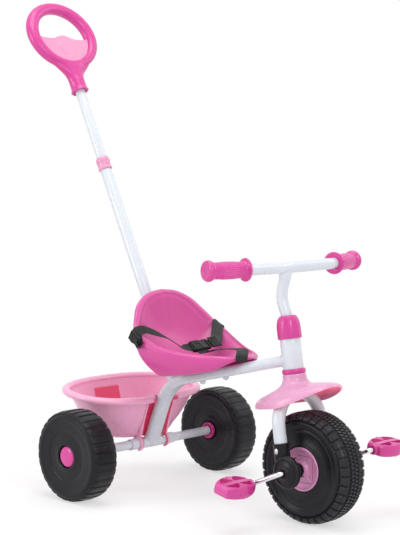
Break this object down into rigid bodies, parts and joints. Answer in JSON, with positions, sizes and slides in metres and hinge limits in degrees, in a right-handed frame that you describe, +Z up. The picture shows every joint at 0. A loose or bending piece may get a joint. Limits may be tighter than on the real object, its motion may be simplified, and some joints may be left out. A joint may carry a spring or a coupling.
{
  "type": "toddler tricycle with push bar",
  "caption": "Child's tricycle with a belted bucket seat, pedals on the front wheel, a tipping rear bucket and a telescoping push bar with a ring handle.",
  "frame": {"origin": "on the floor, under the centre of the whole tricycle's bounding box, with all three wheels standing on Z = 0", "axes": "+X points forwards, +Y to the rider's left, +Z up"},
  "size_m": [0.8887, 0.475, 1.0349],
  "materials": {
    "white_paint": "gloss white powder coat",
    "magenta_plastic": "moulded, satin gloss",
    "pink_plastic": "moulded, satin gloss",
    "black_plastic": "blow-moulded, semi-matt",
    "black_webbing": "woven webbing",
    "zinc_steel": "zinc plated",
    "chromed_steel": "bright chrome"
  },
  "bodies": {
    "frame": {"main_tube": "white_paint", "rear_axle_tube": "white_paint", "rear_axle_rod": "zinc_steel", "frame_screw_right": "zinc_steel", "frame_screw_left": "zinc_steel", "head_tube": "white_paint", "head_ring": "magenta_plastic", "head_cap": "magenta_plastic", "seat": "magenta_plastic", "seat_bolt_1": "zinc_steel", "seat_bolt_2": "zinc_steel", "seat_nut_1": "zinc_steel", "seat_nut_2": "zinc_steel", "belt_right": "black_webbing", "belt_left": "black_webbing", "belt_crotch": "black_webbing", "buckle_socket": "black_plastic", "buckle_tongue": "black_plastic", "push_bar_lower": "white_paint", "push_bar_collar": "pink_plastic", "lock_washer_right": "zinc_steel", "lock_washer_left": "zinc_steel"},
    "push_bar": {"push_bar_upper": "white_paint", "ring_handle": "magenta_plastic", "handle_panel": "pink_plastic"},
    "steering": {"fork": "white_paint", "handlebar": "white_paint", "grip_left": "magenta_plastic", "grip_right": "magenta_plastic", "fender": "pink_plastic", "fork_bracket_right": "black_plastic", "fork_bracket_left": "black_plastic", "fork_rivet_right": "zinc_steel", "fork_rivet_left": "zinc_steel"},
    "front_wheel": {"front_wheel": "black_plastic", "front_hub_right": "pink_plastic", "front_hub_left": "pink_plastic", "crank": "chromed_steel", "pedal_cap_right": "zinc_steel", "pedal_cap_left": "zinc_steel"},
    "pedal_right": {"pedal_right": "magenta_plastic"},
    "pedal_left": {"pedal_left": "magenta_plastic"},
    "rear_wheel_right": {"rear_wheel_right": "black_plastic", "hub_cap_right": "magenta_plastic", "wheel_bush_right": "magenta_plastic"},
    "rear_wheel_left": {"rear_wheel_left": "black_plastic", "hub_cap_left": "magenta_plastic", "wheel_bush_left": "magenta_plastic"},
    "bucket": {"bucket": "pink_plastic"}
  },
  "joints": [
    {"name": "push_bar_slide", "type": "slide", "parent": "frame", "child": "push_bar", "axis": [-0.4446, 0, 0.8957], "range_m": [-0.15, 0]},
    {"name": "steering_turn", "type": "hinge", "parent": "frame", "child": "steering", "pos_m": [0.31913, 0, 0.10446], "axis": [-0.1736, 0, 0.9848], "range_deg": [-45, 45]},
    {"name": "front_wheel_spin", "type": "hinge", "parent": "steering", "child": "front_wheel", "pos_m": [0.33636, 0, 0.1075], "axis": [0, 1, 0], "continuous": true},
    {"name": "pedal_right_spin", "type": "hinge", "parent": "front_wheel", "child": "pedal_right", "pos_m": [0.28155, -0.11378, 0.0831], "axis": [0, 1, 0], "continuous": true},
    {"name": "pedal_left_spin", "type": "hinge", "parent": "front_wheel", "child": "pedal_left", "pos_m": [0.39117, 0.11378, 0.1319], "axis": [0, 1, 0], "continuous": true},
    {"name": "rear_wheel_right_spin", "type": "hinge", "parent": "frame", "child": "rear_wheel_right", "pos_m": [-0.10964, -0.2065, 0.0925], "axis": [0, 1, 0], "continuous": true},
    {"name": "rear_wheel_left_spin", "type": "hinge", "parent": "frame", "child": "rear_wheel_left", "pos_m": [-0.10964, 0.2065, 0.0925], "axis": [0, 1, 0], "continuous": true},
    {"name": "bucket_tip", "type": "hinge", "parent": "frame", "child": "bucket", "pos_m": [-0.10964, 0, 0.0925], "axis": [0, -1, 0], "range_deg": [0, 45]}
  ]
}
